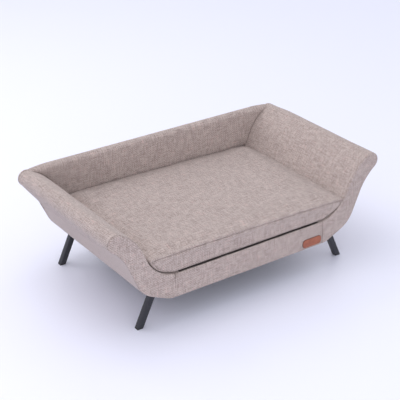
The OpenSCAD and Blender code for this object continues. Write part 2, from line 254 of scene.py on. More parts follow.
class Shape:
    """Points, faces and weave coordinates, gathered before they become one object."""

    def __init__(self):
        self.points, self.faces, self.weave, self.count = [], [], [], 0

    def add(self, points, faces, weave):
        self.points.append(np.asarray(points, float))
        self.weave.append(np.asarray(weave, float)[:, :2])
        self.faces += [[i + self.count for i in f] for f in faces]
        self.count += len(points)

    def strip(self, rows, weave):
        """Quads between rows of points, each row joined from its last point to its first."""
        rows, weave = np.asarray(rows, float), np.asarray(weave, float)[..., :2]
        k, n = rows.shape[:2]
        faces = []
        for i in range(k - 1):
            for j in range(n):
                a, b = i * n + j, i * n + (j + 1) % n
                faces.append([a, b, b + n, a + n])
        self.add(rows.reshape(-1, 3), faces, weave.reshape(-1, 2))

    def fan(self, ring, weave):
        self.add(ring, [list(range(len(ring)))], weave)

    def slab(self, loop, patched, y, back_plane, weave, steps):
        """A shaped upright face, its rim run straight back to a plane in so many rows, and a flat back."""
        flat, faces = patched
        rim = y[:len(loop)]
        self.add(np.c_[flat[:, 0], y, flat[:, 1]], faces, weave)
        rows = [np.c_[loop[:, 0], rim + (back_plane - rim) * t, loop[:, 1]]
                for t in np.linspace(0, 1, steps)]
        self.strip(rows, [loop] * steps)
        self.add(np.c_[flat[:, 0], np.full(len(flat), back_plane), flat[:, 1]], faces, flat)

    def tube(self, rows, weave):
        """A closed solid between the first and the last of its rings."""
        self.strip(rows, weave)
        self.fan(rows[0], weave[0])
        self.fan(rows[-1], weave[-1])

    def object(self, name, material, body="frame", merge=1e-5):
        mesh = bpy.data.meshes.new(name)
        mesh.from_pydata(np.vstack(self.points).tolist(), [], self.faces)
        lay_weave(mesh.attributes.new("weave", "FLOAT_VECTOR", "POINT"), np.vstack(self.weave))
        obj = linked(name, mesh)
        bm = bmesh.new()
        bm.from_mesh(mesh)
        if merge:
            bmesh.ops.remove_doubles(bm, verts=bm.verts, dist=merge)
        bmesh.ops.dissolve_degenerate(bm, edges=bm.edges, dist=1e-6)
        bmesh.ops.recalc_face_normals(bm, faces=bm.faces)
        bm.to_mesh(mesh)
        bm.free()
        mesh.shade_smooth()
        coat(obj, material)
        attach(obj, body)
        return obj


def lay_weave(attribute, uv):
    """Where each point lies on its cloth, in metres along the two threads."""
    attribute.data.foreach_set("vector", np.c_[uv, np.zeros(len(uv))].ravel().astype(np.float32))


def coat(obj, material):
    """Makes a material the only one on an object."""
    obj.data.materials.clear()
    obj.data.materials.append(material)


def points_of(obj, what="co"):
    """An object's points, or with "normal" their directions, as one array."""
    p = np.zeros(len(obj.data.vertices) * 3)
    obj.data.vertices.foreach_get(what, p)
    return p.reshape(-1, 3)


def place(obj, points):
    obj.data.vertices.foreach_set("co", np.asarray(points).ravel())
    obj.data.update()


def mark(obj, name, values):
    """A value for each point that a material reads."""
    attribute = obj.data.attributes.new(name, "FLOAT", "POINT")
    attribute.data.foreach_set("value", np.asarray(values, np.float32))


def field(points, scale, seed):
    """Smooth noise at each point, from -1 to 1, the same on every run."""
    off = Vector((seed * 3.1, seed * 7.7, seed * 1.3))
    return np.array([noise.noise(Vector(p) * scale + off) for p in points])


def soften(obj, amount, scale, seed):
    """Small unevenness of fabric over padding."""
    p = points_of(obj)
    place(obj, p + points_of(obj, "normal") * (field(p, scale, seed) * amount)[:, None])


def sharp_where(obj, degrees):
    """Shades the edges that turn by more than an angle as sharp."""
    bm = bmesh.new()
    bm.from_mesh(obj.data)
    for e in bm.edges:
        e.smooth = len(e.link_faces) != 2 or e.calc_face_angle() < math.radians(degrees)
    bm.to_mesh(obj.data)
    bm.free()


def refined(node, name, material, width, segments, body="frame"):
    """A bevelled version of a hard CAD node, in its place."""
    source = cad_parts[node]
    mesh = bpy.data.meshes.new_from_object(source)
    mesh.transform(source.matrix_world)
    obj = linked(name, mesh)
    bm = bmesh.new()
    bm.from_mesh(mesh)
    bmesh.ops.remove_doubles(bm, verts=bm.verts, dist=1e-6)
    bmesh.ops.dissolve_limit(bm, angle_limit=math.radians(1), verts=bm.verts, edges=bm.edges)
    edges = [e for e in bm.edges if len(e.link_faces) == 2 and e.calc_face_angle() > math.radians(35)]
    bmesh.ops.bevel(bm, geom=edges, offset=width, segments=segments, affect="EDGES",
                    profile=0.5, clamp_overlap=True)
    bm.to_mesh(mesh)
    bm.free()
    mesh.shade_smooth()
    sharp_where(obj, 40)
    coat(obj, material)
    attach(obj, body)
    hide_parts(node)


# ---------------------------------------------------------------- materials
class Nodes:
    """Short names for the nodes that the materials are made of."""

    def __init__(self, name):
        self.material = bpy.data.materials.new(name)
        self.material.use_nodes = True
        self.tree = self.material.node_tree
        self.shader = self.tree.nodes["Principled BSDF"]

    def node(self, kind, **inputs):
        n = self.tree.nodes.new(kind)
        for key, value in inputs.items():
            self.put(n.inputs[key.replace("_", " ")], value)
        return n

    def put(self, socket, value):
        if isinstance(value, bpy.types.NodeSocket):
            self.tree.links.new(value, socket)
        else:
            socket.default_value = value

    def attribute(self, name):
        n = self.tree.nodes.new("ShaderNodeAttribute")
        n.attribute_name = name
        return n.outputs

    def math(self, op, a, b=0.0):
        n = self.tree.nodes.new("ShaderNodeMath")
        n.operation = op
        self.put(n.inputs[0], a)
        self.put(n.inputs[1], b)
        return n.outputs[0]

    def plus(self, a, b):
        return self.math("ADD", a, b)

    def minus(self, a, b):
        return self.math("SUBTRACT", a, b)

    def times(self, a, b):
        return self.math("MULTIPLY", a, b)

    def clamp01(self, a):
        return self.node("ShaderNodeClamp", Value=a).outputs[0]

    def ramp(self, a, low, high, to_low=0.0, to_high=1.0):
        n = self.tree.nodes.new("ShaderNodeMapRange")
        n.interpolation_type = "SMOOTHSTEP"
        for i, v in enumerate((a, low, high, to_low, to_high)):
            self.put(n.inputs[i], v)
        return n.outputs[0]

    def mix(self, factor, a, b):
        n = self.tree.nodes.new("ShaderNodeMix")
        n.data_type = "RGBA"
        # 6, 7 and output 2 are the colour sockets
        self.put(n.inputs[0], factor)
        self.put(n.inputs[6], a)
        self.put(n.inputs[7], b)
        return n.outputs[2]

    def multiply(self, colour, amount):
        n = self.tree.nodes.new("ShaderNodeVectorMath")
        n.operation = "SCALE"
        self.put(n.inputs[0], colour)
        self.put(n.inputs[3], amount)
        return n.outputs[0]

    def noise(self, vector, scale, detail=2.0, rough=0.5):
        n = self.node("ShaderNodeTexNoise", Vector=vector, Scale=scale, Detail=detail, Roughness=rough)
        return n.outputs[0]

    def stretched(self, vector, x, y, z=1.0):
        return self.node("ShaderNodeMapping", Vector=vector, Scale=(x, y, z)).outputs[0]

    def random(self, a, seed):
        pair = self.node("ShaderNodeCombineXYZ", X=a, Y=seed).outputs[0]
        n = self.node("ShaderNodeTexWhiteNoise", Vector=pair)
        n.noise_dimensions = "2D"
        return n.outputs[0]

    def bump(self, height_m, strength):
        return self.node("ShaderNodeBump", Strength=strength, Distance=1.0, Height=height_m).outputs[0]

    def object_space(self):
        return self.tree.nodes.new("ShaderNodeTexCoord").outputs["Object"]

    def done(self, colour, rough, **others):
        for key, value in {"Base Color": colour, "Roughness": rough, **others}.items():
            self.put(self.shader.inputs[key.replace("_", " ")], value)
        return self.material


def rgb(r, g, b):
    """A colour from its screen values."""
    lin = [v / 255 / 12.92 if v <= 10 else ((v / 255 + 0.055) / 1.055) ** 2.4 for v in (r, g, b)]
    return (*lin, 1.0)


def woven(name, light, dark, fleck, pitch, contrast, slub, depth, sheen):
    """Twill of round yarns, with uneven thread colour, slubs along both directions and a raised nap."""
    m = Nodes(name)
    uv = m.attribute("weave")["Vector"]
    wobble = m.noise(m.stretched(uv, 60, 60), 1.0, 2.0)
    drift = m.times(m.minus(wobble, 0.5), pitch * 0.9)
    parts = m.node("ShaderNodeSeparateXYZ", Vector=uv)
    u = m.times(m.plus(parts.outputs[0], drift), 1 / pitch)
    v = m.times(m.minus(parts.outputs[1], drift), 1 / pitch)
    iu, iv = m.math("FLOOR", u), m.math("FLOOR", v)
    fu, fv = m.minus(u, iu), m.minus(v, iv)
    k = m.math("FLOORED_MODULO", m.plus(iu, iv), 4.0)
    over = m.math("LESS_THAN", k, 2.0)
    along_warp = m.times(m.plus(k, fv), 0.5)
    along_weft = m.times(m.plus(m.minus(k, 2.0), fu), 0.5)

    def yarn(across, along):
        """Height of a round yarn that dips under its neighbours at both ends of its float."""
        a = m.math("SINE", m.times(across, math.pi))
        b = m.math("SINE", m.times(along, math.pi))
        return m.times(a, m.plus(m.times(b, 0.45), 0.55))

    def picked(a, b):
        """a where the warp lies on top, b where the weft does."""
        return m.plus(m.times(a, over), m.times(b, m.minus(1.0, over)))

    relief = m.clamp01(picked(yarn(fu, along_warp), yarn(fv, along_weft)))
    # a yarn keeps its tone for about six crossings
    per_crossing = 0.16
    run_v = m.math("FLOOR", m.times(v, per_crossing))
    run_u = m.math("FLOOR", m.times(u, per_crossing))
    short = picked(m.random(m.plus(iu, m.times(run_v, 57.0)), 3.0),
                   m.random(m.plus(iv, m.times(run_u, 91.0)), 8.0))
    whole = picked(m.random(iu, 5.0), m.random(iv, 9.0))
    tone = m.plus(m.times(short, 0.85), m.times(whole, 0.15))
    tone = m.plus(tone, m.times(m.minus(over, 0.5), 0.3))
    long_u = m.noise(m.stretched(uv, 34, 430), 1.0, 1.0, 0.5)
    long_v = m.noise(m.stretched(uv, 430, 34), 1.0, 1.0, 0.5)
    grain = m.minus(m.noise(m.stretched(uv, 420, 420), 1.0, 2.0, 0.7), 0.5)
    streak = m.plus(m.minus(long_u, 0.5), m.minus(long_v, 0.5))
    cloudy = m.minus(m.noise(m.stretched(uv, 9, 9), 1.0, 3.0), 0.5)
    mixing = m.plus(m.times(m.minus(tone, 0.5), contrast), m.times(streak, slub))
    mixing = m.plus(mixing, m.times(cloudy, 0.2))
    mixing = m.plus(mixing, m.times(grain, slub * 0.8))
    mixing = m.clamp01(m.plus(mixing, 0.5))
    colour = m.mix(mixing, dark, light)
    rare = m.ramp(m.math("MAXIMUM", long_u, long_v), 0.66, 0.74, 0.0, 0.55)
    colour = m.mix(rare, colour, fleck)
    # painted shade: darker between the yarns, and in seams and along contacts where the crease mark is set
    shade = m.plus(m.times(relief, 0.42), 0.72)
    shade = m.times(shade, m.minus(1.0, m.times(m.attribute("crease")["Fac"], 0.5)))
    colour = m.multiply(colour, shade)
    fuzz = m.noise(m.object_space(), 2600.0, 2.0)
    lift = m.plus(m.times(relief, depth), m.times(m.plus(fuzz, streak), depth * 0.35))
    rough = m.ramp(fuzz, 0.2, 0.8, 0.82, 0.98)
    return m.done(colour, rough, Normal=m.bump(lift, 0.8), Sheen_Weight=sheen, Sheen_Roughness=0.55,
                  Sheen_Tint=(1.0, 0.97, 0.95, 1.0), Specular_IOR_Level=0.25)


def grainy(name, light, dark, scale, stretch, rough, relief, **constants):
    """Wood, foam, paint and the like: streaks or grain in object space."""
    m = Nodes(name)
    space = m.stretched(m.object_space(), *stretch)
    coarse = m.noise(space, scale, 5.0, 0.6)
    fine = m.noise(space, scale * 6, 3.0, 0.6)
    both = m.plus(m.times(coarse, 0.7), m.times(fine, 0.3))
    colour = m.mix(m.ramp(both, 0.3, 0.7), dark, light)
    lift = m.times(both, relief)
    return m.done(colour, m.ramp(fine, 0.25, 0.75, rough - 0.08, rough + 0.08),
                  Normal=m.bump(lift, 0.7), **constants)


def leather(name):
    """Brown hide: pebbled grain from cells, darker worn edges, creases and a soft polish."""
    m = Nodes(name)
    space = m.object_space()
    cells = m.node("ShaderNodeTexVoronoi", Vector=space, Scale=900.0, Randomness=1.0)
    grain = m.ramp(cells.outputs[0], 0.05, 0.5)
    cloudy = m.noise(space, 70.0, 4.0, 0.6)
    crease = m.noise(m.stretched(space, 300, 300, 60), 1.0, 4.0, 0.65)
    edge = m.attribute("edge")["Fac"]
    colour = m.mix(m.ramp(cloudy, 0.3, 0.7), rgb(120, 62, 44), rgb(160, 92, 70))
    colour = m.mix(m.times(grain, 0.35), colour, rgb(172, 106, 82))
    colour = m.mix(m.times(edge, 0.75), colour, rgb(74, 38, 30))
    lift = m.plus(m.times(grain, 0.00012), m.times(crease, 0.0001))
    return m.done(colour, m.ramp(cloudy, 0.2, 0.8, 0.42, 0.6), Normal=m.bump(lift, 0.8),
                  Specular_IOR_Level=0.4, Coat_Weight=0.06, Coat_Roughness=0.4)


greige_light, greige_dark, pink_slub = rgb(200, 185, 180), rgb(140, 125, 120), rgb(196, 158, 153)
mat_woven = woven("woven_upholstery", greige_light, greige_dark, pink_slub,
                  1.55 * mm, 0.7, 0.85, 0.4 * mm, 0.2)
mat_smooth = woven("smooth_side_cloth", rgb(186, 172, 168), rgb(168, 154, 150), rgb(180, 162, 157),
                   0.7 * mm, 0.3, 0.4, 0.12 * mm, 0.15)
mat_lining = woven("lining_cloth", rgb(62, 54, 53), rgb(40, 35, 35), rgb(66, 58, 56),
                   0.6 * mm, 0.6, 0.8, 0.08 * mm, 0.1)
mat_tape = grainy("zip_tape_cloth", rgb(150, 134, 128), rgb(118, 102, 96), 800.0, (1, 1, 4), 0.85, 0.0001)
mat_leather = leather("brown_leather")
mat_steel = grainy("black_powder_coat", rgb(42, 42, 49), rgb(29, 29, 35), 700.0, (1, 1, 1), 0.5, 0.00006,
                   Metallic=0.0, Specular_IOR_Level=0.5)
mat_foot = grainy("black_foot_plastic", rgb(34, 34, 35), rgb(24, 24, 25), 400.0, (1, 1, 1), 0.6, 0.00004)
mat_zinc = grainy("zinc_plated_steel", rgb(206, 206, 202), rgb(160, 162, 164), 260.0, (1, 1, 1),
                  0.34, 0.00003, Metallic=1.0)
mat_ply = grainy("plywood", rgb(216, 184, 140), rgb(180, 142, 98), 14.0, (1, 1, 9), 0.7, 0.0003)
mat_pine = grainy("softwood", rgb(222, 190, 140), rgb(190, 148, 98), 12.0, (12, 1, 12), 0.7, 0.0003)
mat_board = grainy("hardboard", rgb(126, 92, 64), rgb(98, 70, 48), 300.0, (1, 1, 1), 0.75, 0.0001)
mat_foam = grainy("upholstery_foam", rgb(232, 222, 190), rgb(206, 192, 150), 420.0, (1, 1, 1), 0.95, 0.0005)
mat_coil = grainy("zip_coil_nylon", rgb(128, 112, 104), rgb(98, 84, 78), 900.0, (1, 1, 1), 0.45, 0.00002)

# ---------------------------------------------------------------- arms: foam and cloth over the timber
seam_y = front_y + 2.6 * mm
seam_round, seam_dip = 3.2 * mm, 2.2 * mm
# the timber panel in the arm: how far inside the tub's face it lies, and its two ends along the slope
panel_n, panel_low, panel_high = cloth + 12 * mm, -64.8 * mm, 50 * mm
foam_low = deck_z - 11.5 * mm
crease_y = np.array([-1, front_y, -0.170, -0.121, -0.060, 0, 1])
crease_z = np.array([0.241, 0.241, 0.221, 0.200, 0.1855, 0.179, 0.179])


def crease_height(y):
    """Height of the line on the arm's outer side where the woven cloth ends, softened at its bends."""
    near = np.interp(y + np.linspace(-0.03, 0.03, 13), crease_y, crease_z)
    return float(near.mean())


def run_along(path):
    """Length from the start of a polyline to each of its points."""
    return np.r_[0, np.cumsum(np.linalg.norm(np.diff(path, axis=0), axis=1))]


def part_of(path, low, high, n):
    """n + 1 points along a polyline between two lengths from its start, and those lengths."""
    run = run_along(path)
    s = np.linspace(low, high, n + 1)
    return np.c_[np.interp(s, run, path[:, 0]), np.interp(s, run, path[:, 1])], s


def length_at(path, z):
    """Length from the start of a rising path to the height z, and its whole length."""
    run = run_along(path)
    return float(np.interp(z, path[:, 1], run)), run[-1]


def outward(path):
    """Unit normals to the right of a path, which is outward on the arm's outer side."""
    t = np.gradient(path, axis=0)
    t /= np.linalg.norm(t, axis=1)[:, None]
    return np.c_[t[:, 1], -t[:, 0]]


def fullness(t):
    """How far the stuffing fills the hollow under the roll, from the crease to the roll."""
    return 6.4 * mm * np.sin(np.pi * np.clip(t, 0, 1) ** 1.15) ** 0.8


def filled_outer():
    """The outer outline with the hollow under the roll filled, as it is at the back."""
    path = outer(0)
    run = run_along(path)
    start = np.interp(crease_z[-1], path[:, 1], run)
    return path + outward(path) * fullness((run - start) / (run[-1] - start))[:, None]


def wall(s, n):
    """A point s up the slope from the top of the tub's corner and n under its face."""
    return tub_end + s * heading(lean) + n * right_of(lean)


# hidden side of the arm's foam: along the deck, up the panel and round its top rail
foam_back = np.array([
    [deck_half, foam_low],
    [wall(panel_low, panel_n)[0], foam_low],
    wall(panel_low, panel_n),
    wall(panel_high, panel_n),
    roll_c + np.array([-9, 11.5]) * mm,
    roll_c + np.array([11, 4]) * mm,
    roll_c + np.array([5, -11]) * mm])


def arm_rows(step):
    """Places along the arm, each with the inset that rounds its two ends over into their seams."""
    turns = np.radians(np.linspace(0, 90, 7))
    near_end = [(seam_round * (1 - math.cos(t)), seam_dip * (1 - math.sin(t))) for t in turns]
    n = int((arm_back_y - seam_y - seam_round - seam_round) / step)
    middle = np.linspace(seam_y + seam_round, arm_back_y - seam_round, n + 1)[1:-1]
    rows = [(seam_y + along, dip) for along, dip in near_end]
    rows += [(y, 0.0) for y in middle]
    rows += [(arm_back_y - along, dip) for along, dip in near_end[::-1]]
    return rows


def settled(p):
    """The upholstery is pulled down a little where the arms meet the back."""
    start, over = np.array([0.325, 0.12, 0.21]), np.array([0.055, 0.085, 0.06])
    w = smooth_step((np.c_[np.abs(p[:, 0]), p[:, 1:]] - start) / over).prod(axis=1)
    return p - np.c_[np.zeros((len(p), 2)), 4 * mm * w]


def arm_padding(name, side):
    """Foam and woven cloth of one arm, from the crease over the roll and down to the deck."""
    shape = Shape()
    rows, weave = [], []
    run = run_along(joined(roll(0), inner(0)))
    for y, d in arm_rows(6 * mm):
        start, total = length_at(outer(0), crease_height(y))
        ends = length_at(outer(d), crease_height(y))
        below, _ = part_of(outer(d), *ends, 30)
        t = np.linspace(0, 1, 31)
        s = start + (total - start) * t
        rim = np.sqrt(1 - (1 - np.clip((s - start) / (4.5 * mm), 0, 1)) ** 2)
        fade = smooth_step((y - seam_y - 4 * mm) / 0.09)
        puff = rim * (0.9 * mm * (1 - t) + fullness(t) * fade) - 0.5 * mm * (1 - rim)
        below = below + outward(below) * puff[:, None]
        seen = np.vstack([below[:-1], joined(roll(d), inner(d))])
        s = np.r_[s[:-1] - total, run]
        under, _ = part_of(outer(cloth), *length_at(outer(cloth), crease_height(y)), 6)
        ring = np.vstack([seen, evened(foam_back, 8 * mm, False), under[::-1]])
        rows.append(np.c_[ring[:, 0] * side, np.full(len(ring), y), ring[:, 1]])
        s = np.r_[s, np.full(len(ring) - len(s), s[-1])]
        weave.append(np.c_[s, np.full(len(s), y)])
    shape.tube(rows, weave)
    obj = shape.object(name, mat_woven)
    soften(obj, 0.8 * mm, 13, 1 + side)
    p = points_of(obj)
    at_end = np.minimum(p[:, 1] - seam_y, arm_back_y - p[:, 1])
    # painted shade in the seams at both ends of the arm, darker on the left arm
    mark(obj, "crease", (0.5 if side < 0 else 0.2) * (1 - smooth_step(at_end / (2.2 * mm))))
    place(obj, settled(p))
    return obj


sides = ((-1, "left"), (1, "right"))
for side, word in sides:
    arm = arm_padding(f"{word}_arm_upholstery", side)
    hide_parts(f"{word}_arm_cover", f"{word}_arm_foam")


# ---------------------------------------------------------------- outer sides: smooth cloth over hardboard
def side_cloth(name, side):
    """The outer side's cloth, from under the base up to the crease, with its flat width and area."""
    shape = Shape()
    rows, weave, sizes = [], [], []
    start = 200 * mm

    def whole(d):
        """The way from under the base up to the roll, d inside the surface."""
        return joined(line([start, clear_z + d], outer(d)[0], 4), outer(d))

    for y, d in arm_rows(8 * mm):
        end = length_at(whole(0), crease_height(y))[0]
        out, s = part_of(whole(d), 0, end, 100)
        tuck = 0.6 * mm * smooth_step((s - end + 4 * mm) / (4 * mm))
        out = out - outward(out) * tuck[:, None]
        back, _ = part_of(whole(cloth + d), 0, end, 100)
        back = back - outward(back) * tuck[:, None]
        ring = np.vstack([out, back[::-1]])
        rows.append(np.c_[ring[:, 0] * side, np.full(len(ring), y), ring[:, 1]])
        weave.append(np.c_[np.r_[s, s[::-1]], np.full(2 * len(s), y)])
        sizes.append((y, end))
    shape.tube(rows, weave)
    obj = shape.object(name, mat_smooth)
    soften(obj, 0.4 * mm, 9, 5 + side)
    y, end = np.array(sizes).T
    area = float(np.sum((end[1:] + end[:-1]) / 2 * np.diff(y)))
    return obj, float(end.max()), area


for side, word in sides:
    cover, across, area = side_cloth(f"{word}_side_cloth", side)
    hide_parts(f"{word}_side_cover")

# ---------------------------------------------------------------- front facings: rail and two arm ends
facing_rings = [v * mm for v in (0.3, 0.7, 1.2, 1.8, 2.6, 3.6, 5.0, 7.0)]
seam_shade_width = 1.6 * mm
tight_seam_shows_z = 0.119
# half the gap between a facing and its neighbour
gap = 0.1 * mm
rail_end, arm_end = flat_half - gap, flat_half + gap


def facing(name, loop, seams, lip, painted_edge_shade, seed):
    """A flat padded front panel: rolled seam edge, a lip inside it and a low crown.

    seams are the upright joins to its neighbours, as (x, roundness); the argument after lip is how dark the
    painted shade along its free edge is."""
    flat, faces, _ = patch(loop, facing_rings, 7 * mm)
    n = len(loop)
    free = np.ones(n, bool)
    for x, _ in seams:
        free &= ~((np.abs(loop[:, 0] - x) < 1e-5) & (np.abs(np.roll(loop, -1, axis=0)[:, 0] - x) < 1e-5))
    dist = edge_distance(flat, loop, free)
    over = round_over(dist, seam_round)
    for x, r in seams:
        over = np.maximum(over, round_over(np.abs(flat[:, 0] - x), r))
    ridge = lip * bell(dist - 4.6 * mm, 2.2 * mm)
    crown = 1.0 * mm * smooth_step(dist / (22 * mm))
    y = front_y + over - ridge - crown
    shape = Shape()
    shape.add(np.c_[flat[:, 0], y, flat[:, 1]], faces, flat)
    back = front_y + 6 * mm
    rows = []
    for t in np.linspace(0, 1, 6):
        q = loop + inward(loop) * 2.0 * mm * smooth_step(t * 2.2)
        rows.append(np.c_[q[:, 0], y[:n] + (back - y[:n]) * t, q[:, 1]])
    shape.strip(rows, [loop] * 6)
    shape.fan(rows[-1], loop)
    obj = shape.object(name, mat_woven)
    p = points_of(obj)
    # painted shade along the free edge and beside the seams, passed to the material as the crease mark
    dark = painted_edge_shade * (1 - smooth_step(edge_distance(p[:, [0, 2]], loop, free) / seam_shade_width))
    for x, r in seams:
        # painted shade along the tight seam shows only near its upper end, along the open one all the way up
        shown = smooth_step((p[:, 2] - tight_seam_shows_z) / 0.01) if r < 1 * mm else 0.6
        dark = np.maximum(dark, (1 - smooth_step(np.abs(p[:, 0] - x) / seam_shade_width)) * shown)
    mark(obj, "crease", dark)
    soften(obj, 0.35 * mm, 18, seed)
    return obj


def tub_curve(x):
    """Points on the curve of the tub's corner at the given places along x."""
    x = np.atleast_1d(x)
    return np.c_[x, tub_c[1] - np.sqrt(tub_r**2 - (x - tub_c[0]) ** 2)]


def right_facing_outline():
    """The arm's end: from the rail seam round under the arm, over the roll and down to the rail."""
    out, ins = outer(0), inner(0)
    return joined([[arm_end, clear_z]], out[out[:, 0] > arm_end], roll(0), ins[ins[:, 0] > arm_end],
                  tub_curve(arm_end))


def rail_outline():
    """The rail between the two arms' ends."""
    top = tub_curve(np.linspace(deck_half, rail_end, 5))
    half = joined([[0, clear_z], [rail_end, clear_z]], top[::-1], [[0, deck_z]])
    return joined(half, flip(half))


right_loop = evened(right_facing_outline(), 4 * mm)
left_loop = evened(flip(right_facing_outline()), 4 * mm)
rail_loop = evened(rail_outline(), 4 * mm)
open_seam, tight_seam = 1.5 * mm, 0.3 * mm
right_end = facing("right_arm_facing", right_loop, [(arm_end, open_seam)], 0.4 * mm, 0.2, 11)
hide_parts("right_front_facing")
left_end = facing("left_arm_facing", left_loop, [(-arm_end, tight_seam)], 1.0 * mm, 0.6, 12)
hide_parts("left_front_facing")
rail_seams = [(rail_end, open_seam), (-rail_end, tight_seam)]
rail = facing("front_rail_panel", rail_loop, rail_seams, 0.6 * mm, 0.4, 13)
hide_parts("front_rail_facing", "front_wadding")


# ---------------------------------------------------------------- back: rounded top, padded inner face
def back_upholstery():
    """Two closed slabs back to back: the padded face inside the tub, and the whole outer back."""
    shape = Shape()
    rings = [v * mm for v in (0.5, 1.2, 2.2, 3.6, 5.2, 7.0, 9.0, 11.5, 14.0)]
    top_r, rear_r, low_rear_r = arm_back_y - back_face_y, back_y - arm_back_y, 6 * mm
    roll_top = arc(roll_c, roll_r, inner_h + 90, 90, 6)

    half = joined([[0, deck_z]], inner(0)[::-1], roll_top, [[0, height]])
    loop = evened(joined(half, flip(half)), 5 * mm)
    flat, faces, dist = patch(loop, rings, 9 * mm)
    from_top = height - flat[:, 1]
    near_top = from_top < dist + 1e-6
    y = back_face_y + round_over(from_top, top_r)
    y = np.maximum(y, back_face_y + round_over(np.where(near_top, 1, dist), 3.2 * mm))
    y = y - 1.6 * mm * smooth_step(dist / (45 * mm))
    y = np.where(from_top < 1e-6, arm_back_y, y)
    # the weave runs the way over the rounded top, not the bare height
    d = np.minimum(from_top, top_r)
    turned = np.arccos(np.clip(1 - d / top_r, 0, 1))
    run = flat[:, 1] + np.where(from_top < top_r, top_r * (turned - np.pi / 2) + d, 0)
    shape.slab(loop, (flat, faces), y, arm_back_y, np.c_[flat[:, 0], run], 5)

    half = joined([[0, clear_z]], filled_outer(), roll(0), roll_top, [[0, height]])
    loop = evened(joined(half, flip(half)), 5 * mm)
    flat, faces, dist = patch(loop, rings, 9 * mm)
    # the rear edge is tight up to 100 mm high and fully rounded from 200 mm
    radius = low_rear_r + (rear_r - low_rear_r) * smooth_step((flat[:, 1] - 0.1) / 0.1)
    y = back_y - round_over(dist, radius) + 1.0 * mm * smooth_step(dist / (60 * mm))
    shape.slab(loop, (flat, faces), y, arm_back_y, np.c_[flat[:, 0], 2 * height - flat[:, 1]], 4)
    obj = shape.object("back_upholstery", mat_woven, merge=0)
    soften(obj, 0.5 * mm, 12, 22)
    place(obj, settled(points_of(obj)))
    return obj


back = back_upholstery()
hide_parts("back_inner_cover", "back_foam", "back_wadding", "back_outer_cover")


# ---------------------------------------------------------------- deck cloth and dust cover
def cloth_plate(name, material, low, high, sag, seed, step=8 * mm):
    """A stretched sheet with thickness, slightly uneven."""
    nx, ny = (max(2, int(round((high[i] - low[i]) / step))) for i in (0, 1))
    p, faces = grid(low, high, nx, ny)
    w = sag * field(p, 12, seed)
    edge = np.minimum.reduce([p[:, 0] - low[0], high[0] - p[:, 0], p[:, 1] - low[1], high[1] - p[:, 1]])
    w *= smooth_step(edge / (30 * mm))
    shape = Shape()
    for z in (low[2], high[2]):
        shape.add(p + np.c_[np.zeros((len(p), 2)), z + w], faces, p)
    rim = list(range(nx + 1)) + [j * (nx + 1) + nx for j in range(1, ny + 1)]
    rim += [ny * (nx + 1) + i for i in range(nx - 1, -1, -1)] + [j * (nx + 1) for j in range(ny - 1, 0, -1)]
    rows = [p[rim] + np.c_[np.zeros((len(rim), 2)), z + w[rim]] for z in (low[2], high[2])]
    shape.strip(rows, [p[rim]] * 2)
    return shape.object(name, material)


low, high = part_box("deck_cover")
deck = cloth_plate("deck_lining", mat_lining, low, high, 0.3 * mm, 31)
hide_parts("deck_cover")
low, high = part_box("dust_cover")
dust = cloth_plate("underside_dust_cloth", mat_lining, low, high, 0.8 * mm, 32)
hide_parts("dust_cover")


# ---------------------------------------------------------------- leather tab
def tab():
    """The label: a rounded slip of leather, pressed in along its stitches."""
    low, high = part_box("leather_label")
    cx, cz = (low.x + high.x) / 2, (low.z + high.z) / 2
    w, h, r = (high.x - low.x) / 2, (high.z - low.z) / 2, 9 * mm
    back_plane = front_y - 1.0 * mm
    corners = [arc([cx + sx * (w - r), cz + sz * (h - r)], r, a, a + 90, 8)
               for sx, sz, a in ((1, -1, -90), (1, 1, 0), (-1, 1, 90), (-1, -1, 180))]
    loop = evened(joined(*corners), 1.5 * mm)
    rings = [v * mm for v in (0.2, 0.5, 0.9, 1.5, 2.1, 2.5, 2.9, 3.5)]
    flat, faces, dist = patch(loop, rings, 1.5 * mm)
    thick, stitch_in = 1.8 * mm, 2.5 * mm
    stitched = 0.25 * mm * bell(dist - stitch_in, 0.45 * mm)
    crown = 0.2 * mm * smooth_step(dist / (9 * mm))
    y = back_plane - thick + round_over(dist, 0.7 * mm) + stitched - crown
    shape = Shape()
    shape.slab(loop, (flat, faces), y, back_plane, flat, 3)
    obj = shape.object("leather_tab", mat_leather)
    p = points_of(obj)
    d = edge_distance(p[:, [0, 2]], loop)
    mark(obj, "edge", 1 - smooth_step(d / (1.4 * mm)))
    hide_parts("leather_label")


tab()

# ---------------------------------------------------------------- legs, feet and fixings
leg_places = ("front_left", "front_right", "rear_left", "rear_right")
for word in leg_places:
    refined(f"{word}_leg", f"{word}_leg_tube", mat_steel, 1.4 * mm, 3)
    refined(f"{word}_foot_cap", f"{word}_foot", mat_foot, 0.5 * mm, 2)
refined("leg_screws", "leg_screw_heads", mat_zinc, 0.4 * mm, 2)
refined("dust_cover_staples", "dust_cloth_staples", mat_zinc, 0.12 * mm, 1)

# ---------------------------------------------------------------- hidden carcass keeps its CAD solids
for material, nodes in (
        (mat_ply, ("front_board", "back_board", "deck_board", "left_arm_panel", "right_arm_panel")),
        (mat_pine, ("centre_joist", "left_base_rail", "right_base_rail", "left_arm_top_rail",
                    "right_arm_top_rail", *(f"{word}_leg_block" for word in leg_places))),
        (mat_board, ("left_side_shell", "right_side_shell")),
        (mat_zinc, ("frame_screws",)),
        (mat_foam, ("deck_pad",))):
    for node in nodes:
        coat(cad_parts[node], material)


# ---------------------------------------------------------------- seat cushion
cushion_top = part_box("seat_cushion_top_panel")[1].z
cushion_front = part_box("seat_cushion_front_panel")[0].y
cushion_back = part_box("seat_cushion_back_panel_upper")[1].y
cushion_gap = 0.8 * mm
cushion_reach = 0.29
# heights: the base lies below the first, the rounder lower edge below the second, the top above the third
base_z, lower_edge_z, upper_z = 0.165, 0.178, 0.18


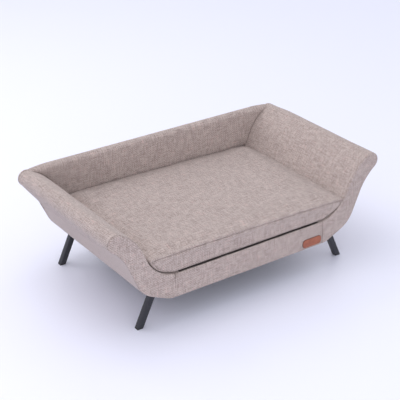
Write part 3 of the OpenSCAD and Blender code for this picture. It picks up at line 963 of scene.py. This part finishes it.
def cushion_half(d, top):
    """Right half of the cushion's outline, d inside it, from the middle of its base to its top corner."""
    r = tub_r - cushion_gap - d
    a = math.degrees(math.asin((top - tub_c[1]) / r))
    return np.vstack([[[0, tub_c[1] - r]], arc(tub_c, r, -90, a, 18)])


def cushion_loop(d, corner):
    """Whole outline with a rounded top corner."""
    half = cushion_half(d, cushion_top - d)
    tip = half[-1]
    before = half[:-1]
    before = before[np.linalg.norm(before - tip, axis=1) > corner]
    t = np.linspace(0, 1, 9)[:, None]
    a = before[-1] + (tip - before[-1]) * max(0, 1 - corner / np.linalg.norm(tip - before[-1]))
    b = tip - [corner, 0]
    turn = (1 - t) ** 2 * a + 2 * t * (1 - t) * tip + t * t * b
    half = joined(before, turn, [[0, cushion_top - d]])
    return joined(half, flip(half))


def closed_cushion(step, d, corner, ends, rings):
    """The cushion as one closed skin: rounded at every seam, rows gathered at the ends."""
    loop = evened(cushion_loop(d, corner), step)
    flat, faces, dist = patch(loop, rings, step)
    shape = Shape()
    n = len(loop)
    y0, y1 = cushion_front + d, cushion_back - d
    radius = ends + 4 * mm * smooth_step((lower_edge_z - flat[:, 1]) / 0.025)
    over = round_over(dist, radius)
    shape.add(np.c_[flat[:, 0], y0 + over, flat[:, 1]], faces, flat)
    shape.add(np.c_[flat[:, 0], y1 - over, flat[:, 1]], faces, flat)
    y_front, y_back = y0 + radius[:n], y1 - radius[:n]
    k = max(2, int(round((y1 - y0) / step)))
    rows = [np.c_[loop[:, 0], y_front + (y_back - y_front) * t, loop[:, 1]]
            for t in np.linspace(0, 1, k + 1)]
    shape.strip(rows, [np.c_[loop[:, 0], r[:, 1]] for r in rows])
    return shape


def swell(rest_points, cap):
    """How a slack copy of the cushion fills out under pressure: a shift for each point given."""
    shape = closed_cushion(9 * mm, 3 * mm, 9 * mm, 6 * mm, [v * mm for v in (1, 3, 6)])
    slack = shape.object("slack_cushion", mat_woven)
    remesh = slack.modifiers.new("remesh", "REMESH")
    remesh.mode = "VOXEL"
    remesh.voxel_size = 6 * mm
    ready = slack.evaluated_get(bpy.context.evaluated_depsgraph_get())
    mesh = bpy.data.meshes.new_from_object(ready)
    slack.modifiers.clear()
    slack.data = mesh
    before = points_of(slack)
    soft = slack.modifiers.new("cloth", "CLOTH")
    s = soft.settings
    s.use_pressure = True
    s.uniform_pressure_force = 4
    s.quality = 5
    s.mass = 0.3
    s.tension_stiffness = s.compression_stiffness = 15
    s.shear_stiffness = 5
    s.bending_stiffness = 0.5
    s.effector_weights.gravity = 0
    last = 20
    soft.point_cache.frame_start, soft.point_cache.frame_end = 1, last
    for f in range(1, last + 1):
        scene.frame_set(f)
    filled = slack.evaluated_get(bpy.context.evaluated_depsgraph_get())
    after = np.array([v.co[:] for v in filled.data.vertices])
    scene.frame_set(1)
    move = after - before
    bpy.data.objects.remove(slack)
    size = np.linalg.norm(move, axis=1)[:, None]
    move = move * (cap * np.tanh(size / cap) / np.maximum(size, 1e-9))
    tree = kdtree.KDTree(len(before))
    for i, p in enumerate(before):
        tree.insert(p, i)
    tree.balance()
    out = np.zeros_like(rest_points)
    for i, p in enumerate(rest_points):
        near = tree.find_n(p, 6)
        w = np.array([1 / (d + 2 * mm) for _, _, d in near])
        out[i] = (w[:, None] * move[[j for _, j, _ in near]]).sum(axis=0) / w.sum()
    return out


def held_in(p):
    """Keeps the cushion on the deck, inside the arms and off the back."""
    x, z = np.abs(p[:, 0]), np.maximum(p[:, 2], deck_z + cushion_gap)
    r = tub_r - cushion_gap
    rx, rz = x - tub_c[0], z - tub_c[1]
    far = np.hypot(rx, rz)
    pull = np.where((rx > 0) & (far > r), r / np.maximum(far, 1e-9), 1)
    x = np.where(rx > 0, tub_c[0] + rx * pull, x)
    z = np.where(rx > 0, tub_c[1] + rz * pull, z)
    y = np.clip(p[:, 1], front_y - 1.2 * mm, back_face_y - 2.2 * mm)
    return np.c_[x * np.sign(p[:, 0]), y, z]


seam_in = 5.5 * mm
side_round = 10 * mm
zip_low, zip_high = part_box("zip_tape")
zip_z, zip_half = (zip_low.z + zip_high.z) / 2, zip_high.x
zip_deep = cushion_back - zip_low.y + 0.5 * mm
cushion_rings = [v * mm for v in (0.7, 1.6, 2.6, 3.6, 4.3, 4.9, 5.5, 6.1, 6.7, 7.6, 9, 11)]


def seat_cushion():
    """The boxed cushion: a swollen skin with sunk seams, slight pulls and dimples, and a slot for its zip."""
    shape = closed_cushion(4 * mm, 0, side_round, 5 * mm, cushion_rings)
    obj = shape.object("seat_cushion", mat_woven, body="seat_cushion")
    rest, normal = points_of(obj), points_of(obj, "normal")
    x, y, z = rest.T
    away = np.abs(x)
    top = z > upper_z
    end_face = np.abs(normal[:, 1]) > 0.6
    move = swell(rest, 9 * mm)
    # the filling pushes the seams out, so they are not drawn in or lifted off the deck
    for axis in (0, 1):
        drawn_in = move[:, axis] * np.sign(rest[:, axis]) < 0
        move[:, axis] *= np.where(drawn_in, 0.15, 0.7)
    move[:, 2] *= 1 - smooth_step((base_z - z) / 0.02)

    # a sunk seam round each end panel, with the filling full beside it
    depth = edge_distance(rest[:, [0, 2]], evened(cushion_loop(0, side_round), 4 * mm))
    pucker = 1 + 0.4 * field(rest, 90, 41)
    at_seam = np.where(end_face, bell(depth - seam_in, 0.9 * mm), 0)
    puff = np.where(end_face, 0.8 * mm * bell(depth - seam_in - 4 * mm, 3 * mm), 0)
    dimple = 1.8 * mm * field(rest, 8, 42) + 0.5 * mm * field(rest, 35, 43)
    dimple = np.where(top, dimple, 0.3 * mm * field(rest, 25, 44))

    # the zip sits in a slot along the rear panel, between two welts
    back = (normal[:, 1] > 0.6) & (away < zip_half + 8 * mm)
    off = np.abs(z - zip_z)
    ends = smooth_step((zip_half + 6 * mm - away) / (6 * mm))
    slot = np.where(back, (1 - smooth_step((off - 4.5 * mm) / (2.5 * mm))) * ends, 0)
    welt = np.where(back, bell(off - 8.5 * mm, 1.6 * mm) * ends, 0)
    keep = 1 - np.maximum(slot, np.where(y > 0.15, bell(off, 14 * mm) * ends, 0))

    lift = puff - 2.0 * mm * at_seam * pucker + dimple * keep + 0.8 * mm * welt
    p = rest + move * keep[:, None] + normal * lift[:, None]
    # the filling has worked a little towards the left end
    p[:, 2] -= 4.5 * mm * x / cushion_reach * smooth_step((z - 0.15) / 0.03) * keep
    p[:, 1] -= zip_deep * slot
    # the rear top corners are pulled in
    corner = smooth_step((away - 0.245) / 0.05) * smooth_step((y - 0.15) / 0.043)
    p[:, 1] -= 6 * mm * corner * top
    place(obj, held_in(p))

    # painted shade in the seam, along the arms and on the slot's walls
    tip = cushion_half(0, cushion_top)[-1]
    painted_shade_by_arm = 0.55 * (1 - smooth_step(np.hypot(away - tip[0], z - tip[1]) / (11 * mm)))
    painted_seam_shade = at_seam * 0.6 * pucker + np.where(end_face, 0, painted_shade_by_arm)
    mark(obj, "crease", np.maximum(painted_seam_shade, np.where(end_face & (slot > 0.02) & (slot < 0.98), 0.5, 0)))
    # the weave runs over the top and down both ends in one direction
    down = np.where(end_face, (cushion_top - z) * np.sign(y), 0)
    lay_weave(obj.data.attributes["weave"], np.c_[x, y + down])
    return obj


cushion = seat_cushion()
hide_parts("seat_cushion_foam", "seat_cushion_top_panel", "seat_cushion_base_panel",
            "seat_cushion_front_panel", "seat_cushion_back_panel_upper", "seat_cushion_back_panel_lower")
coat(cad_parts["zip_tape"], mat_tape)


def zip_teeth():
    """Two rows of interlocked nylon teeth, one bevelled block each."""
    low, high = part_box("zip_coil")
    middle = (low.z + high.z) / 2
    pitch, lap = 1.6 * mm, 0.5 * mm
    shape = Shape()
    for i in range(int((high.x - low.x) / pitch)):
        x = low.x + (i + 0.5) * pitch
        a, b = (low.z, middle + lap) if i % 2 else (middle - lap, high.z)
        rows = []
        for dx, e in ((-0.6 * mm, 0.3 * mm), (-0.35 * mm, 0), (0.35 * mm, 0), (0.6 * mm, 0.3 * mm)):
            corners = ((low.y + e, a + e), (high.y - e, a + e), (high.y - e, b - e), (low.y + e, b - e))
            rows.append([[x + dx, y, z] for y, z in corners])
        shape.tube(rows, rows)
    obj = shape.object("zip_teeth", mat_coil, body="seat_cushion", merge=1e-6)
    sharp_where(obj, 30)
    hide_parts("zip_coil")


zip_teeth()
refined("zip_slider", "zip_slider_body", mat_zinc, 0.3 * mm, 2, body="zip_slider")
refined("zip_pull", "zip_pull_tab", mat_zinc, 0.25 * mm, 2, body="zip_slider")


# ---------------------------------------------------------------- floor, light and camera
def plain_floor():
    """A wide pale floor of many squares."""
    m = Nodes("pale_floor")
    grain = m.noise(m.object_space(), 300.0)
    m.done(m.mix(grain, (0.79, 0.80, 0.92, 1), (0.81, 0.82, 0.94, 1)), 0.4)
    size = 20
    p, faces = grid((-size, -size), (size, size), 24, 24)
    mesh = bpy.data.meshes.new("floor")
    mesh.from_pydata(p.tolist(), [], faces)
    mesh.materials.append(m.material)
    linked("floor", mesh)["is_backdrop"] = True


def area_light(name, at, aim, size, power, colour):
    data = bpy.data.lights.new(name, "AREA")
    data.shape = "RECTANGLE"
    data.size, data.size_y = size
    data.energy = power
    data.color = colour
    obj = linked(name, data)
    obj.location = at
    obj.rotation_euler = (Vector(aim) - Vector(at)).to_track_quat("-Z", "Y").to_euler()


plain_floor()
world = bpy.data.worlds.new("studio")
scene.world = world
world.use_nodes = True
background = world.node_tree.nodes["Background"].inputs
background["Color"].default_value = (0.93, 0.945, 1.0, 1)
background["Strength"].default_value = 0.98
area_light("overhead", (-0.5, 0.4, 2.4), (-0.05, 0, 0.1), (1.8, 1.6), 13, (1.0, 0.97, 0.96))
area_light("behind", (-1.0, 2.2, 1.9), (-0.1, 0, 0.15), (1.6, 1.2), 14, (1.0, 0.98, 0.97))
area_light("front_left", (-1.7, -2.8, 0.75), (0, 0, 0.1), (2.6, 1.2), 28, (1.0, 0.97, 0.97))

azimuth, elevation = math.radians(-35.25), math.radians(26.76)
level = math.cos(elevation)
back_way = Vector((math.sin(azimuth) * level, -math.cos(azimuth) * level, math.sin(elevation)))
camera = linked("camera", bpy.data.cameras.new("camera"))
camera.data.sensor_width = 36
camera.data.lens = 102.17
camera.location = (-1.4915, -2.1095, 1.4756)
camera.rotation_mode = "QUATERNION"
camera.rotation_quaternion = (-back_way).to_track_quat("-Z", "Y")
scene.camera = camera
scene.view_settings.view_transform = "Standard"

low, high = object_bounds()
